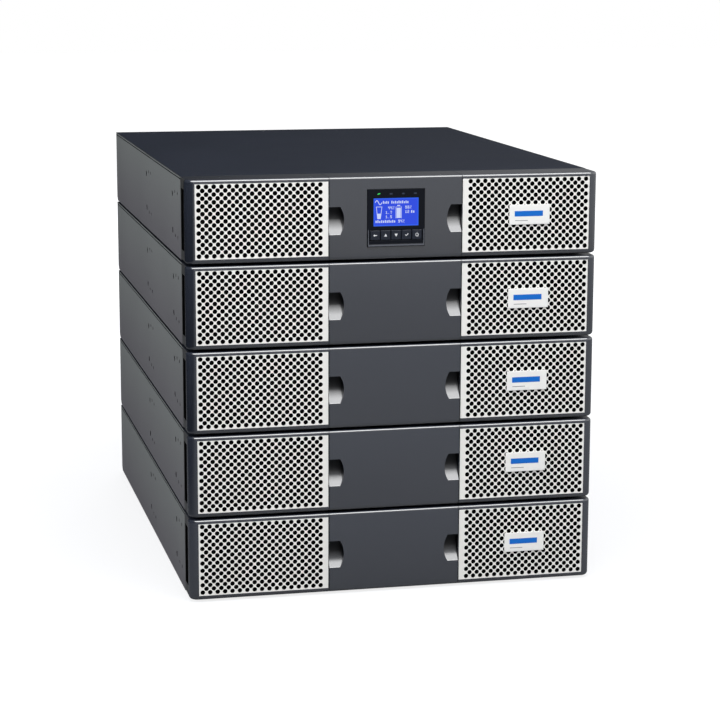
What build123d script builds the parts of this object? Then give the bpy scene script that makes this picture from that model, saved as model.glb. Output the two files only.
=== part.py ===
from build123d import *
import os

os.makedirs("parts", exist_ok=True)

# A stack of five rack modules: one uninterruptible power supply on four battery modules.
# Millimetres. X runs across the front, the front faces -Y, and Z is up from the floor.

# Driving dimensions of the stack
battery_module_count = 4
rack_pitch = 88.9
foot_height = 2.4
width = 440.0
depth = 605.0

# Steel case
case_inset = 1.0
rear_panel_thickness = 1.5
cover_thickness = 1.2
cover_hem_height = 4.0
rear_corner_chamfer = 4.0
foot_length = 46.0
foot_width = 16.0
foot_side_distance = 38.0
foot_end_distance = 70.0
rail_hole_diameter = 4.8
rail_hole_depth = 6.0
rail_hole_front = 100.0
rail_hole_rise = 39.0
rail_hole_stagger = 1.0

# Moulded bezel
bezel_depth = 40.0
bezel_wall = 2.5
bezel_corner_radius = 9.0
bezel_top_chamfer = 2.0
bezel_bottom_chamfer = 3.5
centre_width = 142.4
seam_gap = 0.3
ear_band_depth = 13.0
ear_slot_width = 9.0
ear_slot_height = 64.0
ear_slot_rear_margin = 3.0

# Perforated sheets in the bezel
grille_side_margin = 9.3
grille_top_margin = 4.0
grille_bottom_margin = 4.5
grille_thickness = 1.2
grille_ledge = 3.0
grille_flange = 4.0
grille_bar = 5.6
grille_columns = 6
grille_rows = 3
badge_width = 44.0
badge_height = 21.0
badge_thickness = 1.5
badge_offset = 3.5

# Finger scoops at both ends of the centre cover
scoop_width = 16.0
scoop_height = 29.0
scoop_bulge = 4.2
scoop_depth = 15.0
scoop_below_middle = 2.0

# Display and its keys
display_width = 61.0
display_height = 59.4
display_depth = 14.0
display_proud = 0.8
display_gap = 0.4
display_side_margin = 2.6
lip_height = 2.4
lip_proud = 1.0
screen_side_margin = 6.5
screen_top_margin = 9.2
screen_height = 29.0
screen_recess = 0.8
screen_thickness = 2.0
indicator_width = 3.0
indicator_height = 1.5
indicator_spacing = 13.0
indicator_offset = 1.0
indicator_above_screen = 4.6
key_names = ("back", "up", "down", "enter", "power")
key_height = 10.2
key_gap = 0.7
key_bottom_margin = 4.2
key_travel = 1.0
key_clearance = 0.3
key_cap_thickness = 2.4
key_proud = 0.3
key_edge = 0.5
key_stem_width = 3.0
key_stem_length = 4.0

# Fittings in the rear panels
fitting_side_margin = 9.0
fitting_gap = 8.0
fitting_flange = 1.5
fitting_depth = 16.0
cavity_depth = 12.0
outlet_columns = 4
outlet_pitch_x = 34.0
outlet_pitch_z = 33.0
outlet_cavity_width = 27.0
outlet_cavity_height = 20.0
outlet_moat_width = 2.8
contact_slot_width = 1.6
contact_slot_height = 4.4
contact_slot_spacing = 7.0
inlet_width = 36.0
inlet_height = 30.0
inlet_wall = 3.0
blade_thickness = 2.0
blade_height = 7.0
connector_width = 52.0
connector_height = 24.0
connector_wall = 3.2
connector_rise = 38.0
connector_proud = 4.0
contact_thickness = 3.0
card_width = 46.0
card_height = 38.0
card_thickness = 1.5
port_width = 31.0
port_height = 12.0
port_proud = 2.5
vent_width = 3.0
vent_height = 62.0
vent_pitch = 7.0

# Sizes worked out from the ones above
module_count = battery_module_count + 1
body_height = rack_pitch - foot_height
front_y = -depth / 2
case_front_y = front_y + bezel_depth
rear_y = depth / 2 + display_proud + lip_proud
panel_rear_y = rear_y - connector_proud
case_rear_y = panel_rear_y - rear_panel_thickness
case_half_width = width / 2 - case_inset
seam_x = centre_width / 2
end_width = width / 2 - seam_x
grille_width = end_width - grille_side_margin
grille_height = body_height - grille_top_margin - grille_bottom_margin
grille_middle_x = seam_x + grille_width / 2
grille_above_middle = (grille_bottom_margin - grille_top_margin) / 2
screen_width = display_width - 2 * screen_side_margin
screen_above_middle = display_height / 2 - screen_top_margin - screen_height / 2
key_pitch = (display_width - 2 * display_side_margin) / len(key_names)
key_width = key_pitch - key_gap
key_above_middle = key_bottom_margin + lip_height + key_height / 2 - display_height / 2
outlet_block_width = outlet_columns * outlet_pitch_x
outlet_block_height = 2 * outlet_pitch_z
connector_x = connector_width / 2 + fitting_side_margin - case_half_width
outlet_block_x = connector_x + (connector_width + outlet_block_width) / 2 + fitting_gap
card_x = outlet_block_x + (outlet_block_width + card_width) / 2 + fitting_gap
vent_start_x = card_x + card_width / 2 + 2 * fitting_gap
vent_count = int((case_half_width - fitting_side_margin - vent_start_x) / vent_pitch)


def middle_of(level):
    """Height of the middle of a module's body."""
    return level * rack_pitch + foot_height + body_height / 2


def save(piece, name):
    """Label a finished piece and write its file."""
    piece.label = name
    export_step(piece, f"parts/{name}.step")


def upright_plane(y, z):
    """A sketching plane across the stack that faces the front, with X to the right and Z up."""
    return Plane(origin=(0, y, z), x_dir=(1, 0, 0), z_dir=(0, -1, 0))


inlet_place = (connector_x, -connector_rise / 2)


def connector_places(level):
    """The supply has one battery connector above its inlet, and a battery module has two."""
    upper = (connector_x, connector_rise / 2)
    lower = (connector_x, -connector_rise / 2)
    return [upper] if level == module_count - 1 else [upper, lower]


def fitting_pockets(level):
    """Rectangular cut-outs of one rear panel: X, height from the middle, width, height."""
    pockets = [(x, z, connector_width, connector_height) for x, z in connector_places(level)]
    if level == module_count - 1:
        pockets.append((outlet_block_x, 0, outlet_block_width, outlet_block_height))
        pockets.append((*inlet_place, inlet_width, inlet_height))
    return pockets


def make_chassis(level, name):
    """Folded steel case with pressed feet, a rebate for the cover and blind holes for rails."""
    base = level * rack_pitch
    case_length = case_rear_y - case_front_y
    case_middle_y = (case_rear_y + case_front_y) / 2
    foot_x = case_half_width - foot_side_distance
    with BuildPart() as chassis:
        with BuildSketch(Plane.XY.offset(base + foot_height)):
            with Locations((0, case_middle_y)):
                Rectangle(2 * case_half_width, case_length)
        extrude(amount=body_height - cover_thickness)
        rear_bottom = chassis.edges().filter_by(Axis.X).group_by(Axis.Z)[0].sort_by(Axis.Y)[-1]
        chamfer(rear_bottom, rear_corner_chamfer)
        with BuildSketch(Plane.XY.offset(base)):
            for foot_y in (case_front_y + foot_end_distance, case_rear_y - foot_end_distance):
                with Locations((-foot_x, foot_y), (foot_x, foot_y)):
                    Rectangle(foot_width, foot_length)
        extrude(amount=foot_height)
        rebate_z = base + rack_pitch - cover_thickness - cover_hem_height
        with BuildSketch(Plane.XY.offset(rebate_z)):
            for side in (-1, 1):
                with Locations((side * (case_half_width - cover_thickness / 2), case_middle_y)):
                    Rectangle(cover_thickness, case_length)
        extrude(amount=cover_hem_height, mode=Mode.SUBTRACT)
        # The right wall's holes sit a little further back than the left's
        for side, stagger in ((-1, 0), (1, rail_hole_stagger)):
            hole_y = front_y + rail_hole_front + stagger
            wall = Plane(origin=(side * case_half_width, hole_y, middle_of(level)),
                         x_dir=(0, 1, 0), z_dir=(side, 0, 0))
            with Locations(wall):
                with GridLocations(1, rail_hole_rise, 1, 2):
                    Hole(rail_hole_diameter / 2, rail_hole_depth)
        with BuildSketch(upright_plane(case_rear_y, middle_of(level))):
            for x, z, pocket_width, pocket_height in fitting_pockets(level):
                with Locations((x, z)):
                    Rectangle(pocket_width, pocket_height)
        extrude(amount=fitting_depth, mode=Mode.SUBTRACT)
    save(chassis.part, name + "_chassis")


def make_top_cover(level, name):
    """Sheet steel cover whose side hems hook down over the case."""
    top = (level + 1) * rack_pitch
    cover_length = case_rear_y - case_front_y
    middle_y = (case_rear_y + case_front_y) / 2
    with BuildPart() as cover:
        with BuildSketch(Plane.XY.offset(top - cover_thickness)):
            with Locations((0, middle_y)):
                Rectangle(2 * case_half_width, cover_length)
        extrude(amount=cover_thickness)
        with BuildSketch(Plane.XY.offset(top - cover_thickness - cover_hem_height)):
            for side in (-1, 1):
                with Locations((side * (case_half_width - cover_thickness / 2), middle_y)):
                    Rectangle(cover_thickness, cover_length)
        extrude(amount=cover_hem_height)
    save(cover.part, name + "_top_cover")


def make_rear_panel(level, name):
    """Flat rear sheet with a cut-out for each fitting, and vent slots on the supply."""
    with BuildPart() as panel:
        with BuildSketch(upright_plane(panel_rear_y, middle_of(level))):
            Rectangle(2 * case_half_width, body_height)
            for x, z, pocket_width, pocket_height in fitting_pockets(level):
                with Locations((x, z)):
                    Rectangle(pocket_width, pocket_height, mode=Mode.SUBTRACT)
            if level == module_count - 1:
                for slot in range(vent_count):
                    with Locations((vent_start_x + (slot + 0.5) * vent_pitch, 0)):
                        Rectangle(vent_width, vent_height, mode=Mode.SUBTRACT)
        extrude(amount=rear_panel_thickness)
        panel_bottom = panel.edges().filter_by(Axis.Y).group_by(Axis.Z)[0]
        chamfer(panel_bottom, rear_corner_chamfer)
    save(panel.part, name + "_rear_panel")


def make_bezel_ends(level, name):
    """Two hollow moulded ends with a rounded corner, a grille window and a slot for a rack ear."""
    bottom = level * rack_pitch + foot_height
    end_middle_x = -(seam_x + end_width / 2)
    with BuildPart() as ends:
        with BuildSketch(Plane.XY.offset(bottom)) as plan:
            with Locations((end_middle_x, front_y + bezel_depth / 2)):
                Rectangle(end_width, bezel_depth)
            outer_corner = plan.vertices().group_by(Axis.Y)[0].sort_by(Axis.X)[0]
            fillet(outer_corner, bezel_corner_radius)
        extrude(amount=body_height)
        for face_index, rim_chamfer in ((0, bezel_bottom_chamfer), (-1, bezel_top_chamfer)):
            rim = [
                edge
                for edge in ends.faces().sort_by(Axis.Z)[face_index].edges()
                if edge.center().Y < case_front_y - 1 and edge.center().X < -seam_x - 1
            ]
            chamfer(rim, rim_chamfer)
        # Hollow behind the front wall, open to the case
        with BuildSketch(Plane.XY.offset(bottom + bezel_wall)) as hollow:
            with Locations((end_middle_x, front_y + bezel_wall + bezel_depth / 2)):
                Rectangle(end_width - 2 * bezel_wall, bezel_depth)
            inner_corner = hollow.vertices().group_by(Axis.Y)[0].sort_by(Axis.X)[0]
            fillet(inner_corner, bezel_corner_radius - bezel_wall)
        extrude(amount=body_height - 2 * bezel_wall, mode=Mode.SUBTRACT)
        # Recess that the perforated sheet lies in, and the window behind it
        grille_z = middle_of(level) + grille_above_middle
        with BuildSketch(upright_plane(front_y, grille_z)):
            with Locations((-grille_middle_x, 0)):
                Rectangle(grille_width, grille_height)
        extrude(amount=-grille_thickness, mode=Mode.SUBTRACT)
        with BuildSketch(upright_plane(front_y, grille_z)):
            with Locations((-grille_middle_x, 0)):
                Rectangle(grille_width - 2 * grille_ledge, grille_height - 2 * grille_ledge)
        extrude(amount=-2 * bezel_wall, mode=Mode.SUBTRACT)
        # Stepped-in band at the rear of the side wall, with the slot for a rack ear
        with BuildSketch(Plane.XY.offset(bottom)):
            with Locations((-width / 2 + case_inset / 2, case_front_y - ear_band_depth / 2)):
                Rectangle(case_inset, ear_band_depth)
        extrude(amount=body_height, mode=Mode.SUBTRACT)
        slot_y = case_front_y - ear_slot_rear_margin - ear_slot_width / 2
        side_wall = Plane(origin=(-width / 2, slot_y, middle_of(level)),
                          x_dir=(0, 1, 0), z_dir=(-1, 0, 0))
        with BuildSketch(side_wall):
            Rectangle(ear_slot_width, ear_slot_height)
        extrude(amount=-2 * bezel_wall, mode=Mode.SUBTRACT)
        mirror(about=Plane.YZ)
    save(ends.part, name + "_bezel_ends")


def make_grilles(level, name):
    """Two sheets with a grid of openings in the bezel's windows, each with a flange folded back."""
    grille_z = middle_of(level) + grille_above_middle
    window_width = grille_width - 2 * grille_ledge
    window_height = grille_height - 2 * grille_ledge
    pitch_x = (window_width - 2 * grille_thickness) / grille_columns
    pitch_z = (window_height - 2 * grille_thickness) / grille_rows
    with BuildPart() as grilles:
        for x in (-grille_middle_x, grille_middle_x):
            with BuildSketch(upright_plane(front_y, grille_z)):
                with Locations((x, 0)):
                    Rectangle(grille_width, grille_height)
                    with GridLocations(pitch_x, pitch_z, grille_columns, grille_rows):
                        Rectangle(pitch_x - grille_bar, pitch_z - grille_bar, mode=Mode.SUBTRACT)
            extrude(amount=-grille_thickness)
            with BuildSketch(upright_plane(front_y + grille_thickness, grille_z)):
                with Locations((x, 0)):
                    Rectangle(window_width, window_height)
                    Rectangle(window_width - 2 * grille_thickness,
                              window_height - 2 * grille_thickness, mode=Mode.SUBTRACT)
            extrude(amount=-grille_flange)
    save(grilles.part, name + "_grilles")


def scoop_cutter(level):
    """Hollow of the right finger scoop: D-shaped in front, and shelving down from its deep top."""
    seam_edge = seam_x - seam_gap
    inner_edge = seam_edge - scoop_width
    scoop_z = middle_of(level) - scoop_below_middle
    low = -scoop_height / 2
    high = scoop_height / 2
    with BuildPart() as cutter:
        with BuildSketch(upright_plane(front_y, scoop_z)):
            with BuildLine():
                Polyline((inner_edge + scoop_bulge, low), (seam_edge, low), (seam_edge, high),
                         (inner_edge + scoop_bulge, high))
                ThreePointArc((inner_edge + scoop_bulge, high), (inner_edge, 0),
                              (inner_edge + scoop_bulge, low))
            make_face()
        extrude(amount=-scoop_depth)
        profile_plane = Plane(origin=(0, front_y, scoop_z), x_dir=(0, 1, 0), z_dir=(1, 0, 0))
        with BuildSketch(profile_plane):
            with BuildLine():
                Polyline((0, low), (0, high), (scoop_depth, high))
                Line((scoop_depth, high), (scoop_depth, scoop_depth / 2))
                ThreePointArc((scoop_depth, scoop_depth / 2), (scoop_depth * 0.68, low * 0.4),
                              (0, low))
            make_face()
        extrude(amount=width / 2, mode=Mode.INTERSECT)
    return cutter.part


def make_centre_cover(level, name):
    """Solid moulded cover between the ends, with a finger scoop at each end."""
    bottom = level * rack_pitch + foot_height
    hollow = scoop_cutter(level)
    with BuildPart() as cover:
        with BuildSketch(Plane.XY.offset(bottom)):
            with Locations((0, front_y + bezel_depth / 2)):
                Rectangle(2 * (seam_x - seam_gap), bezel_depth)
        extrude(amount=body_height)
        front_edges = cover.edges().filter_by(Axis.X).group_by(Axis.Y)[0].sort_by(Axis.Z)
        chamfer(front_edges[0], bezel_bottom_chamfer)
        chamfer(front_edges[-1], bezel_top_chamfer)
        add(hollow, mode=Mode.SUBTRACT)
        add(hollow.mirror(Plane.YZ), mode=Mode.SUBTRACT)
        if level == module_count - 1:
            with BuildSketch(upright_plane(front_y, middle_of(level))):
                Rectangle(display_width + 2 * display_gap, display_height + 2 * display_gap)
            extrude(amount=-display_depth, mode=Mode.SUBTRACT)
    save(cover.part, name + "_centre_cover")


def make_badges():
    """One plain raised plate on the right grille of each module."""
    with BuildPart() as badges:
        for level in range(module_count):
            with BuildSketch(upright_plane(front_y, middle_of(level))):
                with Locations((grille_middle_x + badge_offset, 0)):
                    Rectangle(badge_width, badge_height)
            extrude(amount=badge_thickness)
    save(badges.part, "badges")


def make_display():
    """Display housing with a window, indicator lights and a row of keys in one shared slot."""
    middle = middle_of(module_count - 1)
    face_y = front_y - display_proud
    key_xs = [(index - (len(key_names) - 1) / 2) * key_pitch for index in range(len(key_names))]
    slot_width = len(key_names) * key_pitch - key_gap + 2 * key_clearance
    slot_height = key_height + 2 * key_clearance
    slot_depth = key_cap_thickness - key_proud + key_travel + key_clearance
    indicator_z = screen_above_middle + screen_height / 2 + indicator_above_screen
    with BuildPart() as housing:
        with BuildSketch(upright_plane(face_y, middle)):
            Rectangle(display_width, display_height)
        extrude(amount=-(display_depth + display_proud))
        with BuildSketch(upright_plane(face_y, middle)):
            with Locations((0, (lip_height - display_height) / 2)):
                Rectangle(display_width, lip_height)
        extrude(amount=lip_proud)
        with BuildSketch(upright_plane(face_y, middle)):
            with Locations((0, screen_above_middle)):
                Rectangle(screen_width, screen_height)
        extrude(amount=-(screen_recess + screen_thickness), mode=Mode.SUBTRACT)
        with BuildSketch(upright_plane(face_y, middle)):
            with Locations((0, key_above_middle)):
                Rectangle(slot_width, slot_height)
        extrude(amount=-slot_depth, mode=Mode.SUBTRACT)
        with BuildSketch(upright_plane(face_y + slot_depth, middle)):
            for key_x in key_xs:
                with Locations((key_x, key_above_middle)):
                    Rectangle(key_stem_width + 2 * key_clearance, key_stem_width + 2 * key_clearance)
        extrude(amount=-key_stem_length, mode=Mode.SUBTRACT)
        with BuildSketch(upright_plane(face_y, middle + indicator_z)):
            with Locations((indicator_offset, 0)):
                with GridLocations(indicator_spacing, 1, 4, 1):
                    Rectangle(indicator_width, indicator_height)
        extrude(amount=-screen_thickness, mode=Mode.SUBTRACT)
    save(housing.part, "display_housing")

    with BuildPart() as screen:
        with BuildSketch(upright_plane(face_y + screen_recess, middle + screen_above_middle)):
            Rectangle(screen_width, screen_height)
        extrude(amount=-screen_thickness)
    save(screen.part, "display_screen")

    with BuildPart() as indicators:
        with BuildSketch(upright_plane(face_y, middle + indicator_z)):
            with Locations((indicator_offset, 0)):
                with GridLocations(indicator_spacing, 1, 4, 1):
                    Rectangle(indicator_width, indicator_height)
        extrude(amount=-screen_thickness)
    save(indicators.part, "indicator_lights")

    for key_name, key_x in zip(key_names, key_xs):
        with BuildPart() as key:
            with BuildSketch(upright_plane(face_y - key_proud, middle + key_above_middle)):
                with Locations((key_x, 0)):
                    Rectangle(key_width, key_height)
            extrude(amount=-key_cap_thickness)
            chamfer(key.faces().sort_by(Axis.Y)[0].edges(), key_edge)
            with BuildSketch(upright_plane(face_y - key_proud + key_cap_thickness,
                                         middle + key_above_middle)):
                with Locations((key_x, 0)):
                    Rectangle(key_stem_width, key_stem_width)
            extrude(amount=-key_stem_length)
        save(key.part, "key_" + key_name)


def make_outlets(middle):
    """Moulded block of eight output sockets, each a moat round a core with three contact slots."""
    mouth_y = panel_rear_y + fitting_flange
    core_width = outlet_cavity_width - 2 * outlet_moat_width
    core_height = outlet_cavity_height - 2 * outlet_moat_width
    with BuildPart() as outlets:
        with BuildSketch(upright_plane(mouth_y, middle)):
            with Locations((outlet_block_x, 0)):
                Rectangle(outlet_block_width, outlet_block_height)
        extrude(amount=fitting_flange + rear_panel_thickness + fitting_depth)
        with BuildSketch(upright_plane(mouth_y, middle)):
            with Locations((outlet_block_x, 0)):
                with GridLocations(outlet_pitch_x, outlet_pitch_z, outlet_columns, 2):
                    Rectangle(outlet_cavity_width, outlet_cavity_height)
                    Rectangle(core_width, core_height, mode=Mode.SUBTRACT)
        extrude(amount=cavity_depth, mode=Mode.SUBTRACT)
        with BuildSketch(upright_plane(mouth_y, middle)):
            with Locations((outlet_block_x, 0)):
                with GridLocations(outlet_pitch_x, outlet_pitch_z, outlet_columns, 2):
                    with Locations((-contact_slot_spacing, 0), (0, contact_slot_height / 2),
                                   (contact_slot_spacing, 0)):
                        Rectangle(contact_slot_width, contact_slot_height)
        extrude(amount=cavity_depth, mode=Mode.SUBTRACT)
    save(outlets.part, "ups_outlets")


def make_inlet(middle):
    """Mains inlet: a deep recess with three flat blades."""
    x, z = inlet_place
    mouth_y = panel_rear_y + fitting_flange
    floor_y = mouth_y - cavity_depth
    with BuildPart() as inlet:
        with BuildSketch(upright_plane(mouth_y, middle)):
            with Locations((x, z)):
                Rectangle(inlet_width, inlet_height)
        extrude(amount=fitting_flange + rear_panel_thickness + fitting_depth)
        with BuildSketch(upright_plane(mouth_y, middle)):
            with Locations((x, z)):
                Rectangle(inlet_width - 2 * inlet_wall, inlet_height - 2 * inlet_wall)
        extrude(amount=cavity_depth, mode=Mode.SUBTRACT)
        with BuildSketch(upright_plane(floor_y, middle)):
            with Locations((x - inlet_width / 4, z), (x, z), (x + inlet_width / 4, z)):
                Rectangle(blade_thickness, blade_height)
        extrude(amount=-(cavity_depth - fitting_flange))
    save(inlet.part, "ups_inlet")


def make_battery_connectors():
    """Shrouded connectors, one on the supply and two on each battery module."""
    shroud_depth = connector_proud + rear_panel_thickness + fitting_depth
    with BuildPart() as connectors:
        for level in range(module_count):
            for x, z in connector_places(level):
                with BuildSketch(upright_plane(rear_y, middle_of(level))):
                    with Locations((x, z)):
                        Rectangle(connector_width, connector_height)
                extrude(amount=shroud_depth)
                with BuildSketch(upright_plane(rear_y, middle_of(level))):
                    with Locations((x, z)):
                        Rectangle(connector_width - 2 * connector_wall,
                                  connector_height - 2 * connector_wall)
                        with GridLocations(connector_width / 3, 1, 2, 1):
                            Rectangle(connector_width / 6, contact_thickness, mode=Mode.SUBTRACT)
                extrude(amount=connector_proud + cavity_depth, mode=Mode.SUBTRACT)
    save(connectors.part, "battery_connectors")


def make_card_slot_cover(middle):
    """Plain blanking plate over the card slot."""
    with BuildPart() as cover:
        with BuildSketch(upright_plane(panel_rear_y + card_thickness, middle + body_height / 4)):
            with Locations((card_x, 0)):
                Rectangle(card_width, card_height)
        extrude(amount=card_thickness)
    save(cover.part, "ups_card_slot_cover")


def make_ports(middle):
    """Shell of the serial port under the card slot."""
    with BuildPart() as ports:
        with BuildSketch(upright_plane(panel_rear_y + port_proud, middle - body_height / 4)):
            with Locations((card_x, 0)):
                Rectangle(port_width, port_height)
        extrude(amount=port_proud)
    save(ports.part, "ups_ports")


for level in range(module_count):
    module_name = "ups" if level == module_count - 1 else f"battery_{level + 1}"
    make_chassis(level, module_name)
    make_top_cover(level, module_name)
    make_rear_panel(level, module_name)
    make_bezel_ends(level, module_name)
    make_grilles(level, module_name)
    make_centre_cover(level, module_name)

ups_middle = middle_of(module_count - 1)
make_badges()
make_display()
make_outlets(ups_middle)
make_inlet(ups_middle)
make_battery_connectors()
make_card_slot_cover(ups_middle)
make_ports(ups_middle)
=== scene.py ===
import math

import bmesh
import bpy
from mathutils import Matrix, Vector
from mathutils.geometry import delaunay_2d_cdt


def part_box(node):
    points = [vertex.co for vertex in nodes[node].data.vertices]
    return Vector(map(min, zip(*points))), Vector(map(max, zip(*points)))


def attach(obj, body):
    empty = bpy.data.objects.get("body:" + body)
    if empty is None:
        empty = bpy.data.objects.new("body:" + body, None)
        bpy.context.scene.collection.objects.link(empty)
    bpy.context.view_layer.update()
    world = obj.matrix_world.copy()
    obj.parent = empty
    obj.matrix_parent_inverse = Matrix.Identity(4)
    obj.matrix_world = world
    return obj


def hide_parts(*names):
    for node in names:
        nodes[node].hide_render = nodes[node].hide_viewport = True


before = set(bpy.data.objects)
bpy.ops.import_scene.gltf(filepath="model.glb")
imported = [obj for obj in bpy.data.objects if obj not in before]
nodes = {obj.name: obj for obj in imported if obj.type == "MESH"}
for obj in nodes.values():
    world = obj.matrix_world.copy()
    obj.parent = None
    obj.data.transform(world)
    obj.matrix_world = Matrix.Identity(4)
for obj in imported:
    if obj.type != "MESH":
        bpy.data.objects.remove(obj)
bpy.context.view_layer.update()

MM = 0.001
MODULES = ("battery_1", "battery_2", "battery_3", "battery_4", "ups")
KEYS = ("back", "up", "down", "enter", "power")
# The body that everything but the keys rides on
STACK = "stack"

# Places of the stack, in metres, read from the CAD nodes
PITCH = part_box("battery_2_top_cover")[1].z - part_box("battery_1_top_cover")[1].z
BEZEL_LOW, BEZEL_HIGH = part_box("battery_1_bezel_ends")
BEZEL_HEIGHT = BEZEL_HIGH.z - BEZEL_LOW.z
FRONT_Y = BEZEL_LOW.y
CASE_FRONT_Y = BEZEL_HIGH.y
OUTER_X = BEZEL_HIGH.x
SEAM_GAP = 0.3 * MM
SEAM_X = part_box("ups_centre_cover")[1].x + SEAM_GAP
PANEL_LOW, PANEL_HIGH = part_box("battery_1_rear_panel")
WALL_X = PANEL_HIGH.x
PANEL_Y = PANEL_HIGH.y
FIRST_MIDDLE = (BEZEL_LOW.z + BEZEL_HIGH.z) / 2

# Sizes that the shapes share with the masks of their paints
CORNER_RADIUS = 9 * MM
EAR_BAND = 29 * MM
SCOOP_WIDTH = 16 * MM
SCOOP_HALF_HEIGHT = 14.5 * MM
SCOOP_DROP = 2 * MM
HEM_DROP = 2.7 * MM
HEM_GROOVE = 1.1 * MM
GROOVE_DEPTH = 0.4 * MM
SIDE_HOLE_DEPTH = 6 * MM
LIP_HEIGHT = 2.4 * MM
LIP_SIDE = 1.2 * MM
LIP_RISE = 17.5 * MM


def middle_of(level):
    """Height of the middle of a module's bezel."""
    return FIRST_MIDDLE + level * PITCH


def front_middle(low, high):
    """Middle of a box as it is seen from the front."""
    return (low.x + high.x) / 2, (low.z + high.z) / 2


# Materials


def paint(code):
    """Linear colour of a six-digit screen colour."""
    channels = [int(code[place:place + 2], 16) / 255 for place in (0, 2, 4)]
    linear = [c / 12.92 if c <= 0.04045 else ((c + 0.055) / 1.055) ** 2.4 for c in channels]
    return (*linear, 1.0)


def pick(sockets, key):
    """The socket with this identifier, or else this name or number."""
    if isinstance(key, str):
        for socket in sockets:
            if socket.identifier == key:
                return socket
    return sockets[key]


class Wire:
    """An output socket that takes part in Python arithmetic by adding Math nodes."""

    def __init__(self, builder, socket):
        self.builder = builder
        self.socket = socket

    def math(self, operation, *values):
        return self.builder.node("ShaderNodeMath", {"operation": operation},
                                 dict(enumerate(values)))

    def __add__(self, other):
        return self.math("ADD", self, other)

    def __radd__(self, other):
        return self.math("ADD", other, self)

    def __sub__(self, other):
        return self.math("SUBTRACT", self, other)

    def __rsub__(self, other):
        return self.math("SUBTRACT", other, self)

    def __mul__(self, other):
        return self.math("MULTIPLY", self, other)

    def __rmul__(self, other):
        return self.math("MULTIPLY", other, self)

    def __truediv__(self, other):
        return self.math("DIVIDE", self, other)

    def __mod__(self, other):
        return self.math("FLOORED_MODULO", self, other)

    def __gt__(self, other):
        return self.math("GREATER_THAN", self, other)

    def __lt__(self, other):
        return self.math("LESS_THAN", self, other)

    def __abs__(self):
        return self.math("ABSOLUTE", self)

    def between(self, low, high):
        return (self > low) * (self < high)

    def most(self, other):
        return self.math("MAXIMUM", self, other)

    def least(self, other):
        return self.math("MINIMUM", self, other)


class Nodes:
    """A node tree, and the one method that adds any node to it."""

    def __init__(self, tree):
        self.tree = tree
        tree.nodes.clear()

    def node(self, kind, settings=None, sockets=None, output=0):
        """Adds a node: settings first, then values or links of its inputs. Gives one output."""
        made = self.tree.nodes.new(kind)
        for name, value in (settings or {}).items():
            setattr(made, name, value)
        for key, value in (sockets or {}).items():
            socket = pick(made.inputs, key)
            if isinstance(value, Wire):
                self.tree.links.new(value.socket, socket)
            else:
                socket.default_value = value
        return Wire(self, pick(made.outputs, output)) if made.outputs else made

    def mix(self, factor, first, second):
        """Colour that goes from first to second as factor goes from 0 to 1."""
        return self.node("ShaderNodeMix", {"data_type": "RGBA"},
                         {"Factor_Float": factor, "A_Color": first, "B_Color": second},
                         "Result_Color")

    def noise(self, place, scale, detail=2.0, roughness=0.5):
        return self.node("ShaderNodeTexNoise", {}, {"Vector": place, "Scale": scale,
                                                    "Detail": detail, "Roughness": roughness})


CLOUD_SCALE = 9.0
CLOUD_SHARE = 0.7
GLOSS_SPREAD = 0.06
DRAWN_GRAIN = (300.0, 2500.0, 2500.0)


class Finish(Nodes):
    """A material whose surface is one Principled shader."""

    def __init__(self, name):
        self.material = bpy.data.materials.new(name)
        self.material.use_nodes = True
        super().__init__(self.material.node_tree)
        self.place = self.node("ShaderNodeTexCoord", output="Object")

    def axes(self):
        """The three coordinates of the shaded point, in metres."""
        split = self.node("ShaderNodeSeparateXYZ", {}, {"Vector": self.place})
        outputs = split.socket.node.outputs
        return [Wire(self, output) for output in outputs]

    def bump(self, height, distance):
        return self.node("ShaderNodeBump", {}, {"Height": height, "Distance": distance})

    def texture(self, roughness, grain_scale, grain_height):
        """Soft clouds, fine grain, the uneven gloss that the clouds give, and the grain's bumps."""
        clouds = self.noise(self.place, CLOUD_SCALE, 3.0)
        grain = self.noise(self.place, grain_scale, 2.0, 0.6)
        gloss = roughness - GLOSS_SPREAD / 2 + clouds * GLOSS_SPREAD
        return clouds, grain, gloss, self.bump(grain, grain_height * MM)

    def surface(self, hollow=None, **sockets):
        """Ends the material with a Principled shader, whose sockets are named with underscores.

        Where hollow is 1, a flat black one takes its place, as painted shade in holes, hollows and
        grooves.
        """
        named = {key.replace("_", " "): value for key, value in sockets.items()}
        shader = self.node("ShaderNodeBsdfPrincipled", {}, named, "BSDF")
        if hollow is not None:
            painted_shade = self.node("ShaderNodeBsdfPrincipled", {},
                             {"Base Color": paint("050505"), "Roughness": 1.0,
                              "Specular IOR Level": 0.0}, "BSDF")
            shader = self.node("ShaderNodeMixShader", {}, {"Fac": hollow, 1: shader, 2: painted_shade})
        self.node("ShaderNodeOutputMaterial", {}, {"Surface": shader})
        return self


def coat(name, colour, light, roughness, grain_scale, grain_height):
    """A painted or moulded finish, its clouded colour, its gloss and its bumps."""
    finish = Finish(name)
    clouds, grain, gloss, bumps = finish.texture(roughness, grain_scale, grain_height)
    clouded = clouds * CLOUD_SHARE + grain * (1 - CLOUD_SHARE)
    return finish, finish.mix(clouded, paint(colour), paint(light)), gloss, bumps


def module_height(finish):
    """Height of the shaded point above the bottom of its own module's bezel."""
    height = finish.axes()[2]
    return (height - BEZEL_LOW.z) % PITCH


# Places of the spot welds on the top cover, across and along
SPOT_WELDS = ((-85 * MM, 100 * MM), (-185 * MM, 60 * MM), (-175 * MM, 270 * MM),
              (85 * MM, -95 * MM), (185 * MM, 60 * MM), (175 * MM, 270 * MM))
WELD_RADIUS = 1.8 * MM
WELD_TINT = 0.3
# Width and strength of the painted shade, a black line along the edge where the cover's sheet folds
# down
FOLD_LINE = 0.5 * MM
FOLD_SHADE = 0.85
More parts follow.
